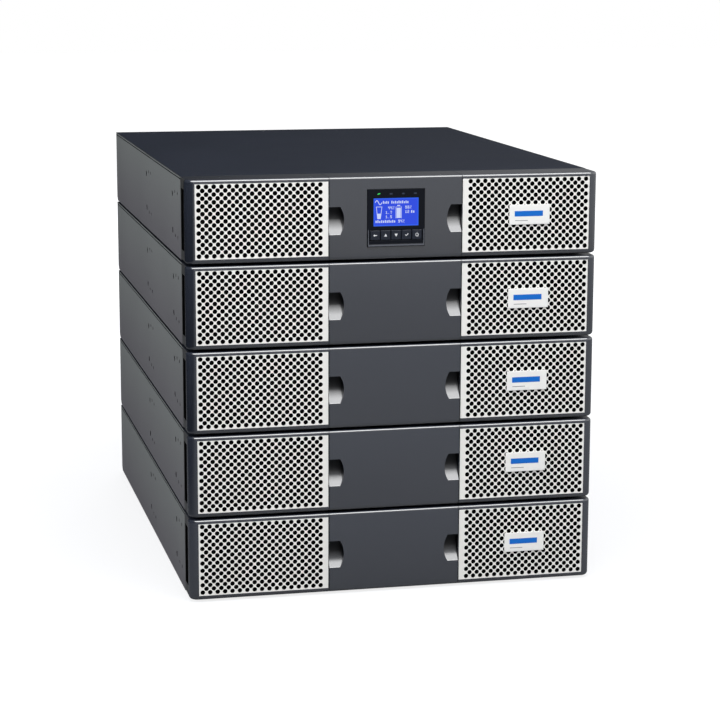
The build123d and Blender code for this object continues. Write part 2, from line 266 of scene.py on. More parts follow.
# Masks end a little inside or outside the faces that they mark.
# Heights in a module between which its case and its bezel are painted black inside, as painted
# shade
CASE_HOLLOW = (3 * MM, 83 * MM)
BEZEL_HOLLOW = (2.4 * MM, 84.1 * MM)
# The insides of the side holes are painted black, as painted shade, up to this distance from the
# stack's middle
HOLE_SHADE_Y = 239 * MM
# Over this height the painted shade in a scoop grows from its bright shelf to its near-black top
SCOOP_FADE = 11 * MM
SCOOP_DARK_BELOW = 9.5 * MM
# How near black the painted shade at a scoop's top gets
SCOOP_SHADE_DARKNESS = 0.85
SCOOP_MATT = 0.3


def spot(first, second, centre, radius):
    """1 within a circle."""
    u = first - centre[0]
    v = second - centre[1]
    return (u * u + v * v) < radius ** 2


def case_grey_with_painted_shade(finish):
    """Paint of the sides: lighter and greener towards each module's top, a painted shading of how
    the light falls on them.
    """
    clouds = finish.noise(finish.place, CLOUD_SCALE, 3.0)
    low = finish.mix(clouds, paint("5c5b60"), paint("636267"))
    high = finish.mix(clouds, paint("6e7272"), paint("747878"))
    return finish.mix(module_height(finish) / PITCH, low, high)


def case_paint():
    """Textured grey paint of the case, with painted shade: flat black in its holes and where it
    closes a hollow.
    """
    finish = Finish("case_paint")
    _, _, gloss, bumps = finish.texture(0.55, 1500, 0.05)
    across, along, _ = finish.axes()
    side = abs(across)
    inside = side < WALL_X - MM
    within = module_height(finish).between(*CASE_HOLLOW)
    # Painted shade: flat black where the case closes the hollows behind the bezel and the rear
    # panel, and inside its side holes
    behind_bezel = (along < CASE_FRONT_Y + 0.3 * MM) * inside
    behind_panel = (abs(along - PANEL_LOW.y) < 0.15 * MM) * inside * within
    in_hole = (side.between(WALL_X - SIDE_HOLE_DEPTH - MM, WALL_X - 0.2 * MM)
               * (abs(along) < HOLE_SHADE_Y) * within)
    hollow = behind_bezel.most(behind_panel).most(in_hole)
    return finish.surface(hollow, Base_Color=case_grey_with_painted_shade(finish), Roughness=gloss, Normal=bumps,
                          Specular_IOR_Level=0.2)


def cover_paint():
    """Smooth paint of the top cover, near black, with spot welds, case grey on its side hems, and
    painted shade: a black line where its sheet folds down and a black groove floor.
    """
    finish, shade, gloss, bumps = coat("cover_paint", "1a1e26", "242832", 0.5, 1100, 0.04)
    across, along, _ = finish.axes()
    side = abs(across)
    drop = BEZEL_HEIGHT - module_height(finish)
    welds = None
    for place in SPOT_WELDS:
        weld = spot(across, along, place, WELD_RADIUS)
        welds = welds.most(weld) if welds else weld
    shade = finish.mix(welds * WELD_TINT, shade, paint("6d7178"))
    shade = finish.mix(side > WALL_X - 0.08 * MM, shade, case_grey_with_painted_shade(finish))
    # Painted shade: a black line along the top edge of each side, where the sheet folds down
    fold_shade = (side > WALL_X - FOLD_LINE) * (drop < FOLD_LINE)
    shade = finish.mix(fold_shade * FOLD_SHADE, shade, paint("121317"))
    # Painted shade: the floor of the hem's groove is flat black
    groove = side.between(WALL_X - 2 * GROOVE_DEPTH, WALL_X - 0.2 * MM) * (
        abs(drop - HEM_DROP) < HEM_GROOVE)
    return finish.surface(groove, Base_Color=shade, Roughness=gloss, Normal=bumps,
                          Specular_IOR_Level=0.1)


def scoop_masks(finish):
    """1 in the finger scoops, and in them the painted shade that grows from their shelf to their
    top.
    """
    across, along, _ = finish.axes()
    shelf = module_height(finish) - BEZEL_HEIGHT / 2 + SCOOP_DROP
    scoop = (abs(across).between(SEAM_X - SCOOP_WIDTH - MM, SEAM_X - 0.4 * MM)
             * along.between(FRONT_Y + 0.3 * MM, CASE_FRONT_Y - 5 * MM)
             * (abs(shelf) < SCOOP_HALF_HEIGHT + 0.4 * MM))
    fade = ((shelf + SCOOP_DARK_BELOW) / SCOOP_FADE).least(1.0).most(0.0)
    return scoop, fade * scoop


def bezel_paint():
    """Glossy graphite paint on the bezel, with painted shade: darker towards each module's bottom,
    flat black in its hollow, and blacker towards the tops of its scoops; case grey on its
    stepped-in band for the ears.
    """
    finish, shade, gloss, bumps = coat("bezel_paint", "151922", "1e222c", 0.42, 1800, 0.03)
    across, along, _ = finish.axes()
    side = abs(across)
    height = module_height(finish)
    # Painted shade: each module's bezel is darker towards its bottom and lighter towards its top
    shade = finish.mix((height / PITCH) * 0.5, shade, paint("303642"))
    ear_band = (along > CASE_FRONT_Y - EAR_BAND - 0.4 * MM) * side.between(
        WALL_X - 0.4 * MM, WALL_X + 0.6 * MM)
    shade = finish.mix(ear_band, shade, paint("3b3c3d"))
    # Painted shade: flat black inside the bezel's hollow, behind its sheet and round corner
    behind_sheet = side.between(SEAM_X + MM, OUTER_X - CORNER_RADIUS - 0.3 * MM) * (
        along > FRONT_Y + 0.8 * MM)
    behind_corner = side.between(SEAM_X + MM, WALL_X - 0.3 * MM) * (
        along > FRONT_Y + CORNER_RADIUS - 0.8 * MM)
    hollow = height.between(*BEZEL_HOLLOW) * behind_sheet.most(behind_corner)
    scoop, painted_shade = scoop_masks(finish)
    # Painted shade: the scoops turn near black towards their top and lose their coat there
    shade = finish.mix(painted_shade * SCOOP_SHADE_DARKNESS, shade, paint("020203"))
    return finish.surface(hollow, Base_Color=shade, Roughness=gloss, Normal=bumps,
                          Coat_Weight=(1 - ear_band) * (1 - painted_shade) * (1 - scoop * SCOOP_MATT),
                          Coat_Roughness=0.13, Coat_IOR=2.3, Specular_IOR_Level=0.3)


def plain_coat(name, colour, light, roughness, grain_scale, grain_height, specular=0.5):
    """A finish of one even colour."""
    finish, shade, gloss, bumps = coat(name, colour, light, roughness, grain_scale, grain_height)
    return finish.surface(Base_Color=shade, Roughness=gloss, Normal=bumps,
                          Specular_IOR_Level=specular)


def metal(name, colour, light, roughness):
    """Bright metal with a fine drawn grain."""
    finish = Finish(name)
    stretched = finish.node("ShaderNodeMapping", {},
                            {"Vector": finish.place, "Scale": DRAWN_GRAIN})
    grain = finish.noise(stretched, 1.0, 3.0, 0.6)
    shade = finish.mix(grain, paint(colour), paint(light))
    return finish.surface(Base_Color=shade, Metallic=1.0, Roughness=roughness + grain * 0.12,
                          Normal=finish.bump(grain, 0.02 * MM))


def contact_coat(name, colour, light, contacts):
    """Moulded plastic, and bright metal where contacts(finish) is 1."""
    finish, shade, gloss, bumps = coat(name, colour, light, 0.48, 1800, 0.03)
    metallic = contacts(finish)
    return finish.surface(Base_Color=finish.mix(metallic, shade, paint("c9c4b8")),
                          Metallic=metallic, Roughness=gloss - metallic * 0.2, Normal=bumps,
                          Specular_IOR_Level=0.4)


# Contacts of the battery connectors, from each connector's middle, and blades of the inlet
CONTACT_X = 8.67 * MM
CONTACT_HALF_WIDE = 4.5 * MM
CONTACT_HALF_TALL = 1.65 * MM
CONNECTOR_RISE = 19 * MM
BLADE_PITCH = 9 * MM
BLADE_HALF_WIDE = 1.15 * MM
BLADE_HALF_TALL = 3.65 * MM


def battery_contacts(finish):
    """The two flat contacts in the middle of each battery connector."""
    middle_x, _ = front_middle(*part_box("battery_connectors"))
    across = abs(abs(finish.axes()[0] - middle_x) - CONTACT_X) < CONTACT_HALF_WIDE
    rise = abs(module_height(finish) - BEZEL_HEIGHT / 2)
    return across * (abs(rise - CONNECTOR_RISE) < CONTACT_HALF_TALL)


def inlet_blades(finish):
    """The three upright blades of the mains inlet."""
    middle_x, middle_z = front_middle(*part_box("ups_inlet"))
    across, _, height = finish.axes()
    nearest = (across - middle_x + 1.5 * BLADE_PITCH) % BLADE_PITCH - BLADE_PITCH / 2
    inside = abs(across - middle_x) < 1.3 * BLADE_PITCH
    return ((abs(nearest) < BLADE_HALF_WIDE) * inside
            * (abs(height - middle_z) < BLADE_HALF_TALL))


def lit(name, colour, strength):
    """A mark or a lamp that gives its own light."""
    finish = Finish(name)
    flicker = finish.noise(finish.place, 900, 1.0)
    dimmer = (*[0.9 * channel for channel in paint(colour)[:3]], 1.0)
    return finish.surface(Base_Color=paint("0a0a0a"), Roughness=0.4,
                          Emission_Color=finish.mix(flicker * 0.2, paint(colour), dimmer),
                          Emission_Strength=strength)


LIP_EDGE = 0.5 * MM


def display_paint():
    """Navy black of the display's housing, and the paler lip round its keys."""
    finish, shade, gloss, bumps = coat("display_black", "090b11", "0f131c", 0.3, 2200, 0.01)
    across, _, height = finish.axes()
    low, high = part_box("display_housing")
    inset = high.x - abs(across)
    below = height.between(low.z + LIP_EDGE, low.z + LIP_HEIGHT - 0.3 * MM) * (inset > LIP_EDGE)
    beside = inset.between(LIP_EDGE, LIP_SIDE) * height.between(low.z + LIP_EDGE, low.z + LIP_RISE)
    shade = finish.mix(below.most(beside), shade, paint("5c5f66"))
    return finish.surface(Base_Color=shade, Roughness=gloss, Normal=bumps, Specular_IOR_Level=0.2)


SCREEN_DOT = 0.45 * MM
SCREEN_RIM = 2.2 * MM


def screen_glow():
    """Backlit blue display: a fine dot grid, and a brighter rim where the light gets in."""
    finish = Finish("screen_glow")
    across, _, height = finish.axes()
    low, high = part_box("display_screen")
    to_side = (high.x - low.x) / 2 - abs(across)
    to_end = (high.z - low.z) / 2 - abs(height - front_middle(low, high)[1])
    rim = 1 - (to_side.least(to_end) / SCREEN_RIM).least(1.0)
    gap = ((across % SCREEN_DOT) < 0.1 * SCREEN_DOT).most((height % SCREEN_DOT) < 0.1 * SCREEN_DOT)
    ground = finish.mix(rim * rim, paint("2a4be4"), paint("2a6cff"))
    glow = finish.mix(gap * 0.35, ground, paint("1c3cc8"))
    return finish.surface(Base_Color=paint("04060f"), Roughness=0.22, Emission_Color=glow,
                          Emission_Strength=0.95)


# Two colours that cloud into one another, roughness, grain scale, grain height in mm, specular
CASE = case_paint()
COVER = cover_paint()
BEZEL = bezel_paint()
SHEET = plain_coat("sheet_white", "eae9e5", "f1f0ed", 0.42, 1400, 0.02, 0.4)
BADGE = plain_coat("badge_white", "f0f0ee", "f7f7f5", 0.2, 500, 0.01, 0.5)
DISPLAY = display_paint()
KEY = plain_coat("key_black", "1c2029", "252a35", 0.42, 2400, 0.02, 0.3)
SMOKED = plain_coat("smoked_window", "2b3342", "363f50", 0.25, 1800, 0.01, 0.4)
SOCKET = plain_coat("socket_black", "1b1b1c", "242425", 0.5, 1800, 0.03, 0.4)
SHROUD = contact_coat("connector_grey", "7e8082", "8b8d8f", battery_contacts)
INLET = contact_coat("inlet_black", "1b1b1c", "242425", inlet_blades)
BADGE_BLUE = plain_coat("badge_blue", "0a66c6", "1170d0", 0.3, 1800, 0.005, 0.4)
BADGE_GREY = plain_coat("badge_grey", "8e9092", "9a9c9e", 0.4, 1800, 0.005, 0.4)
KEY_MARK = plain_coat("key_mark_white", "d9dbdf", "e6e8ea", 0.4, 1800, 0.005, 0.4)
SCREEN = screen_glow()
SCREEN_MARK = lit("screen_mark_glow", "cdd8ff", 0.95)
GREEN_LAMP = lit("green_lamp_glow", "2fe05a", 1.0)
ZINC = metal("zinc_screw", "9a9ca0", "b4b6ba", 0.3)


# Shapes

# Points of a CAD mesh that are closer than this are one, and faces that turn less are flat
CAD_MERGE = 0.005 * MM
FLAT_ANGLE = math.radians(0.8)
SHARP_ANGLE = math.radians(35)
SOFTEN_ANGLE = math.radians(28)
# How far a cutter reaches past what it cuts
CLEAR = 1 * MM
ROUND_STEPS = 20


def circle(sides, radius, turned=0.0):
    """Points of a regular polygon round the origin, turned by a share of one step."""
    turns = [2 * math.pi * (step + turned) / sides for step in range(sides)]
    return [(radius * math.cos(turn), radius * math.sin(turn)) for turn in turns]


class Shape:
    """Vertices and faces of one piece while it is put together."""

    def __init__(self):
        self.vertices = []
        self.faces = []

    def add(self, vertices, faces):
        start = len(self.vertices)
        self.vertices += [tuple(vertex) for vertex in vertices]
        self.faces += [[start + index for index in face] for face in faces]

    def loft(self, rings):
        """A closed solid through rings with the same number of points."""
        count = len(rings[0])
        last = (len(rings) - 1) * count
        faces = [list(range(count)), list(range(last + count - 1, last - 1, -1))]
        for start in range(0, last, count):
            for step in range(count):
                first, second = start + step, start + (step + 1) % count
                faces.append([first, first + count, second + count, second])
        self.add([point for ring in rings for point in ring], faces)

    def prism(self, outline, near, far):
        """A plate between two depths, from an outline of (x, z) that turns anticlockwise."""
        self.loft([[(x, depth, z) for x, z in outline] for depth in (near, far)])

    def box(self, x, z, wide, tall, near, far):
        """A plate with its middle at (x, z)."""
        self.prism([(x - wide / 2, z - tall / 2), (x + wide / 2, z - tall / 2),
                    (x + wide / 2, z + tall / 2), (x - wide / 2, z + tall / 2)], near, far)

    def side_box(self, side, across, along, up):
        """A box on one side of the middle plane, from its three spans."""
        low_x, high_x = sorted(side * x for x in across)
        self.prism([(low_x, up[0]), (high_x, up[0]), (high_x, up[1]), (low_x, up[1])], *along)

    def stroke(self, points, thick, near, far):
        """A line of even thickness through points, with mitred corners."""
        left, right = [], []
        for index, (x, z) in enumerate(points):
            before = points[max(index - 1, 0)]
            after = points[min(index + 1, len(points) - 1)]
            run = Vector((after[0] - before[0], after[1] - before[1])).normalized()
            side = Vector((-run.y, run.x)) * thick / 2
            left.append((x + side.x, z + side.y))
            right.append((x - side.x, z - side.y))
        for index in range(len(points) - 1):
            self.prism([right[index], right[index + 1], left[index + 1], left[index]], near, far)

    def ring(self, x, z, radius, thick, start, end, steps, near, far):
        """Part of a ring, from one angle to another in degrees."""
        inner, outer = radius - thick / 2, radius + thick / 2
        for step in range(steps):
            first, second = [math.radians(start + (end - start) * (step + part) / steps)
                             for part in (0, 1)]
            self.prism([(x + r * math.cos(turn), z + r * math.sin(turn)) for r, turn in
                        ((inner, first), (outer, first), (outer, second), (inner, second))],
                       near, far)

    def stamp(self, mesh, place):
        """Adds a copy of a mesh at a place."""
        self.add([vertex.co + Vector(place) for vertex in mesh.vertices],
                 [list(polygon.vertices) for polygon in mesh.polygons])

    def mesh(self, name):
        made = bpy.data.meshes.new(name)
        made.from_pydata(self.vertices, [], self.faces)
        made.update()
        return made

    def solid(self, name):
        """An object whose faces look outwards and are smooth but for its sharp edges."""
        return closed(name, self.mesh(name), 0.001 * MM)

    def piece(self, name, finish, slot, body=STACK):
        """Makes the piece, gives it its finish and lets it ride on a body."""
        made = bpy.data.objects.new(name, self.mesh(name))
        bpy.context.scene.collection.objects.link(made)
        return finished(made, finish, body)


def closed(name, source, merge, flat_angle=0.0):
    """An object with joined points, outward faces, and smooth shading between its sharp edges."""
    work = bmesh.new()
    work.from_mesh(source)
    bmesh.ops.remove_doubles(work, verts=work.verts, dist=merge)
    if flat_angle:
        bmesh.ops.dissolve_limit(work, angle_limit=flat_angle, verts=work.verts,
                                 edges=work.edges)
    bmesh.ops.recalc_face_normals(work, faces=work.faces)
    mesh = bpy.data.meshes.new(name)
    work.to_mesh(mesh)
    work.free()
    mesh.shade_smooth()
    mesh.set_sharp_from_angle(angle=SHARP_ANGLE)
    made = bpy.data.objects.new(name, mesh)
    bpy.context.scene.collection.objects.link(made)
    return made


def copied(node_name, name):
    """A new object with the shape of a CAD node, to be carved."""
    made = closed(name, nodes[node_name].data, CAD_MERGE, FLAT_ANGLE)
    made.data.transform(nodes[node_name].matrix_world)
    return made


def finished(thing, finish, body=STACK):
    """Gives a new piece its finish and the body that it rides on."""
    thing.data.materials.clear()
    thing.data.materials.append(finish.material)
    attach(thing, body)
    return thing


def carved(block, cutter, edge):
    """The block less the cutter, with small rounds on its sharp edges and even normals."""
    cut = block.modifiers.new("cut", "BOOLEAN")
    cut.operation = "DIFFERENCE"
    cut.solver = "EXACT"
    cut.use_self = True
    cut.object = cutter
    rounds = block.modifiers.new("rounds", "BEVEL")
    rounds.width = edge
    rounds.segments = 2
    rounds.limit_method = "ANGLE"
    rounds.angle_limit = SHARP_ANGLE
    even = block.modifiers.new("even", "WEIGHTED_NORMAL")
    even.keep_sharp = False
    graph = bpy.context.evaluated_depsgraph_get()
    mesh = bpy.data.meshes.new_from_object(block.evaluated_get(graph))
    block.modifiers.clear()
    block.data = mesh
    bpy.data.objects.remove(cutter)
    return block


def carved_piece(block, cutter, edge, finish):
    """A block object less a cutter shape, as a finished piece of the stack."""
    return finished(carved(block, cutter.solid("cutter"), edge), finish)


def soften(thing, width):
    """Rounds a node's sharp edges a little, as moulding and paint do."""
    weld = thing.modifiers.new("weld", "WELD")
    weld.merge_threshold = CAD_MERGE
    flat = thing.modifiers.new("flat", "DECIMATE")
    flat.decimate_type = "DISSOLVE"
    flat.angle_limit = FLAT_ANGLE
    bevel = thing.modifiers.new("edges", "BEVEL")
    bevel.width = width
    bevel.segments = 3
    bevel.limit_method = "ANGLE"
    bevel.angle_limit = SOFTEN_ANGLE
    bevel.harden_normals = True


def dress(name, finish, edge=0.0):
    """Gives a CAD node its finish and, where edge is set, rounded edges."""
    node = nodes[name]
    node.data.materials.clear()
    node.data.materials.append(finish.material)
    if edge:
        soften(node, edge)


# Perforated sheets

HOLE_RADIUS = 2.5 * MM
HOLE_PITCH = 7.9 * MM
HOLE_SIDES = 16
HOLE_COLUMNS = 17
HOLE_ROWS = 10
HOLE_SIDE_MARGIN = 4.2 * MM
HOLE_BOTTOM_MARGIN = 3.8 * MM
SHEET_THICKNESS = 0.6 * MM
SHEET_GAP = 0.35 * MM


def hole_centres():
    """Centres of the staggered pattern, from the sheet's outer lower corner."""
    return [(HOLE_SIDE_MARGIN + (column + shift) * HOLE_PITCH,
             HOLE_BOTTOM_MARGIN + (row + shift) * HOLE_PITCH)
            for shift, fewer in ((0, 0), (0.5, 1))
            for column in range(HOLE_COLUMNS - fewer) for row in range(HOLE_ROWS - fewer)]


def perforated_pattern(wide, tall):
    """Points, loops and triangles of a flat sheet with round holes, its corner at the origin."""
    points = [(SHEET_GAP, SHEET_GAP), (wide - SHEET_GAP, SHEET_GAP),
              (wide - SHEET_GAP, tall - SHEET_GAP), (SHEET_GAP, tall - SHEET_GAP)]
    corners = len(points)
    loops = [list(range(corners))]
    for x, z in hole_centres():
        loops.append(list(range(len(points), len(points) + HOLE_SIDES)))
        points += [(x + u, z + v) for u, v in circle(HOLE_SIDES, HOLE_RADIUS, 0.5)]
    edges = [(loop[step - 1], loop[step]) for loop in loops for step in range(len(loop))]
    # In millimetres, because the triangulation is safer with sizes near one
    flat = [Vector((x / MM, z / MM)) for x, z in points]
    made, _, triangles, _, _, _ = delaunay_2d_cdt(flat, edges, [], 0, 1e-5)
    # A triangle whose corners all belong to one hole fills it, and is left out
    kept = []
    for triangle in triangles:
        owners = {(index - corners) // HOLE_SIDES if index >= corners else -1
                  for index in triangle}
        if len(owners) > 1 or owners == {-1}:
            kept.append(list(triangle))
    return [(point.x * MM, point.y * MM) for point in made], loops, kept


def add_sheet(shape, pattern, outer_x, low_z, near, inward):
    """One sheet: its two faces, and the walls of its holes and edges."""
    points, loops, triangles = pattern
    count = len(points)
    vertices = [(outer_x + inward * x, depth, low_z + z)
                for depth in (near, near + SHEET_THICKNESS) for x, z in points]
    faces = []
    for triangle in triangles:
        faces.append(triangle)
        faces.append([count + index for index in reversed(triangle)])
    for number, loop in enumerate(loops):
        for step in range(len(loop)):
            first, second = loop[step - 1], loop[step]
            wall = [first, count + first, count + second, second]
            faces.append(wall[::-1] if number else wall)
    if inward < 0:
        faces = [face[::-1] for face in faces]
    shape.add(vertices, faces)


def make_grilles():
    """Replaces each pair of plain sheets with perforated ones."""
    low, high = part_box("ups_grilles")
    pattern = perforated_pattern(high.x - SEAM_X - SEAM_GAP, high.z - low.z)
    for module in MODULES:
        low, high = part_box(module + "_grilles")
        sheets = Shape()
        add_sheet(sheets, pattern, low.x, low.z, low.y, 1)
        add_sheet(sheets, pattern, high.x, low.z, low.y, -1)
        made = sheets.piece(module + "_perforated_grilles", SHEET, "grille_white")
        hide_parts(module + "_grilles")


make_grilles()

# Bezel ends and centre covers, with the round rims of the mouldings

TOP_RADIUS = 2.6 * MM
BOTTOM_RADIUS = 4.0 * MM
RIM_STEPS = 7
CORNER_STEPS = 12
MOULDED_EDGE = 0.3 * MM
WALL = 2.5 * MM
# The hollow steps back behind the round corner
HOLLOW_STEP_IN = 4 * MM
HOLLOW_STEP_BACK = 6 * MM
# Rim of the window that the sheet lies on
LEDGE = 1 * MM
# The slot's two ends, from the case's front
EAR_SLOT_NEAR = 23 * MM
EAR_SLOT_FAR = 3 * MM
EAR_SLOT_HALF = 32 * MM
EAR_SLOT_DEPTH = 1.2 * MM


def rim_section(low_z, high_z):
    """Insets and heights of the front's section, from the top face round to the bottom one."""
    turns = [math.pi / 2 * step / RIM_STEPS for step in range(RIM_STEPS + 1)]
    top = [(TOP_RADIUS * (1 - math.sin(turn)), high_z - TOP_RADIUS * (1 - math.cos(turn)))
           for turn in turns]
    bottom = [(BOTTOM_RADIUS * (1 - math.sin(turn)), low_z + BOTTOM_RADIUS * (1 - math.cos(turn)))
              for turn in reversed(turns)]
    return top + bottom


def add_block(shape, path, low_z, high_z, back_corners):
    """A closed block: the section swept along a path of points and inward directions."""
    section = rim_section(low_z, high_z)
    rows = len(section)
    vertices = [(x + inset * inward_x, y + inset * inward_y, z)
                for (x, y), (inward_x, inward_y) in path for inset, z in section]
    start = len(vertices)
    corners = len(back_corners)
    vertices += [(x, y, z) for z in (high_z, low_z) for x, y in back_corners]
    faces = []
    for place in range(len(path) - 1):
        for row in range(rows - 1):
            first = place * rows + row
            faces.append([first, first + rows, first + rows + 1, first + 1])
    last = (len(path) - 1) * rows
    top_back = [start + index for index in range(corners)]
    bottom_back = [start + corners + index for index in range(corners)]
    faces.append([place * rows for place in range(len(path))] + top_back)
    faces.append([place * rows + rows - 1 for place in range(len(path) - 1, -1, -1)]
                 + bottom_back[::-1])
    faces.append([*range(rows), bottom_back[-1], top_back[-1]])
    faces.append([*range(last + rows - 1, last - 1, -1), top_back[0], bottom_back[0]])
    for index in range(corners - 1):
        faces.append([top_back[index], bottom_back[index], bottom_back[index + 1],
                      top_back[index + 1]])
    shape.add(vertices, faces)


def end_path(side):
    """Plan of one bezel end's front and side, from the seam round the corner to the case."""
    outer = side * OUTER_X
    path = [((side * SEAM_X, FRONT_Y), (0, 1))]
    for step in range(CORNER_STEPS + 1):
        turn = math.pi / 2 * step / CORNER_STEPS
        path.append(((outer - side * CORNER_RADIUS * (1 - math.sin(turn)),
                      FRONT_Y + CORNER_RADIUS * (1 - math.cos(turn))),
                     (-side * math.sin(turn), math.cos(turn))))
    path.append(((outer, CASE_FRONT_Y), (-side, 0)))
    return path


def cut_bezel_end(cutter, side, lift):
    """Cuts of one bezel end: its hollow, the recess and window of the sheet, and the ear slot."""
    behind = CASE_FRONT_Y + CLEAR
    low_z, high_z = BEZEL_LOW.z + lift, BEZEL_HIGH.z + lift
    hollow = (low_z + WALL, high_z - WALL)
    cutter.side_box(side, (SEAM_X + WALL, OUTER_X - WALL - HOLLOW_STEP_IN),
                    (FRONT_Y + WALL, behind), hollow)
    cutter.side_box(side, (SEAM_X + WALL, OUTER_X - WALL),
                    (FRONT_Y + WALL + HOLLOW_STEP_BACK, behind), hollow)
    sheet_low, sheet_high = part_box("battery_1_grilles")
    cutter.side_box(side, (SEAM_X - CLEAR, sheet_high.x),
                    (FRONT_Y - CLEAR, FRONT_Y + SHEET_THICKNESS),
                    (sheet_low.z + lift, sheet_high.z + lift))
    cutter.side_box(side, (SEAM_X + LEDGE, sheet_high.x - LEDGE), (FRONT_Y, FRONT_Y + 2 * WALL),
                    (sheet_low.z + lift + LEDGE, sheet_high.z + lift - LEDGE))
    cutter.side_box(side, (WALL_X, OUTER_X + CLEAR), (CASE_FRONT_Y - EAR_BAND, behind),
                    (low_z - CLEAR, high_z + CLEAR))
    middle = FIRST_MIDDLE + lift
    cutter.side_box(side, (WALL_X - EAR_SLOT_DEPTH, OUTER_X + CLEAR),
                    (CASE_FRONT_Y - EAR_SLOT_NEAR, CASE_FRONT_Y - EAR_SLOT_FAR),
                    (middle - EAR_SLOT_HALF, middle + EAR_SLOT_HALF))


def make_bezel_ends():
    """Two hollow ends for each module, with round rims and corners."""
    for level, module in enumerate(MODULES):
        lift = level * PITCH
        block, cutter = Shape(), Shape()
        for side in (-1, 1):
            add_block(block, end_path(side), BEZEL_LOW.z + lift, BEZEL_HIGH.z + lift,
                      [(side * SEAM_X, CASE_FRONT_Y)])
            cut_bezel_end(cutter, side, lift)
        made = carved_piece(block.solid(module + "_moulded_ends"), cutter, MOULDED_EDGE,
                            BEZEL)
        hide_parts(module + "_bezel_ends")


COVER_GAP = 0.6 * MM
DISPLAY_GAP = 0.4 * MM
SCOOP_BULGE = 4.2 * MM
SCOOP_EDGE_DEPTH = 0.02 * MM
SCOOP_SLICES = 28
# Height above the scoop's middle, and backward tilt of its back in degrees
SHELF_TILTS = ((SCOOP_HALF_HEIGHT, 0.0), (9 * MM, 0.0), (0.0, 23.0), (-SCOOP_HALF_HEIGHT, 33.0))


def shelf_tilt(z):
    """Tilt of a scoop's back at a height, in radians."""
    for (high, high_tilt), (low, low_tilt) in zip(SHELF_TILTS, SHELF_TILTS[1:]):
        if z >= low:
            return math.radians(low_tilt + (high_tilt - low_tilt) * (z - low) / (high - low))
    return math.radians(SHELF_TILTS[-1][1])


def add_scoop(cutter, side, scoop_z):
    """Hollow of a finger scoop, built up in slices from its shelving bottom to its upright top."""
    bulge_radius = (SCOOP_HALF_HEIGHT ** 2 + SCOOP_BULGE ** 2) / (2 * SCOOP_BULGE)
    cover_x = SEAM_X - SEAM_GAP
    rise = 2 * SCOOP_HALF_HEIGHT / SCOOP_SLICES
    depth = SCOOP_EDGE_DEPTH
    slices = []
    for step in range(SCOOP_SLICES + 1):
        z = step * rise - SCOOP_HALF_HEIGHT
        inner_x = cover_x - SCOOP_WIDTH + bulge_radius - math.sqrt(bulge_radius ** 2 - z ** 2)
        slices.append([(side * x, FRONT_Y + y, scoop_z + z)
                       for x, y in ((inner_x, -CLEAR), (cover_x + CLEAR, -CLEAR),
                                    (cover_x + CLEAR, depth), (inner_x, depth))])
        depth += rise * math.tan(shelf_tilt(z + rise / 2))
    cutter.loft(slices)


def make_centre_covers():
    """Covers with round rims and finger scoops, and the display's pocket in the top one."""
    half = SEAM_X - COVER_GAP
    for level, module in enumerate(MODULES):
        lift = level * PITCH
        block, cutter = Shape(), Shape()
        add_block(block, [((half, FRONT_Y), (0, 1)), ((-half, FRONT_Y), (0, 1))],
                  BEZEL_LOW.z + lift, BEZEL_HIGH.z + lift,
                  [(-half, CASE_FRONT_Y), (half, CASE_FRONT_Y)])
        for side in (-1, 1):
            add_scoop(cutter, side, middle_of(level) - SCOOP_DROP)
        if module == "ups":
            low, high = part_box("display_housing")
            cutter.side_box(1, (low.x - DISPLAY_GAP, high.x + DISPLAY_GAP),
                            (FRONT_Y - CLEAR, high.y), (low.z - DISPLAY_GAP, high.z + DISPLAY_GAP))
        made = carved_piece(block.solid(module + "_moulded_cover"), cutter, MOULDED_EDGE,
                            BEZEL)
        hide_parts(module + "_centre_cover")


# Cases and top covers

CASE_EDGE = 0.12 * MM
HEM_EDGE = 0.25 * MM
SIDE_HOLE_RISE = 19.5 * MM
SMALL_HOLE_RISE = 23.2 * MM
# Distance from the front, height from the middle, and radius of each pair of holes in the sides
SIDE_HOLES = ((100 * MM, SIDE_HOLE_RISE, 3.3 * MM), (81 * MM, SMALL_HOLE_RISE, 2.1 * MM),
              (63 * MM, SMALL_HOLE_RISE, 2.1 * MM), (310 * MM, SIDE_HOLE_RISE, 3.3 * MM),
              (291 * MM, SMALL_HOLE_RISE, 2.1 * MM), (273 * MM, SMALL_HOLE_RISE, 2.1 * MM))


def add_side_hole(cutter, side, y, z, radius):
    """A short round bar across a side wall, where its hole is to be."""
    cutter.loft([[(side * x, y + u, z + v) for u, v in circle(ROUND_STEPS, radius)]
                 for x in (WALL_X - SIDE_HOLE_DEPTH, WALL_X + CLEAR)])


def make_cases():
    """Chassis with its groups of holes in the sides, and top covers with grooved hems."""
    for level, module in enumerate(MODULES):
        middle = middle_of(level)
        hem_z = BEZEL_HIGH.z + level * PITCH - HEM_DROP
        holes, grooves = Shape(), Shape()
        for side in (-1, 1):
            for distance, rise, radius in SIDE_HOLES:
                for z in (middle - rise, middle + rise):
                    add_side_hole(holes, side, FRONT_Y + distance, z, radius)
            grooves.side_box(side, (WALL_X - GROOVE_DEPTH, WALL_X + CLEAR),
                             (CASE_FRONT_Y - CLEAR, PANEL_Y + CLEAR),
                             (hem_z - HEM_GROOVE / 2, hem_z + HEM_GROOVE / 2))
        chassis = carved_piece(copied(module + "_chassis", module + "_punched_chassis"), holes,
                               CASE_EDGE, CASE)
        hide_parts(module + "_chassis")
        cover = carved_piece(copied(module + "_top_cover", module + "_hemmed_cover"), grooves,
                             HEM_EDGE, COVER)
        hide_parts(module + "_top_cover")


make_bezel_ends()
make_centre_covers()
make_cases()

# CAD nodes, each with its finish and the radius of its edges

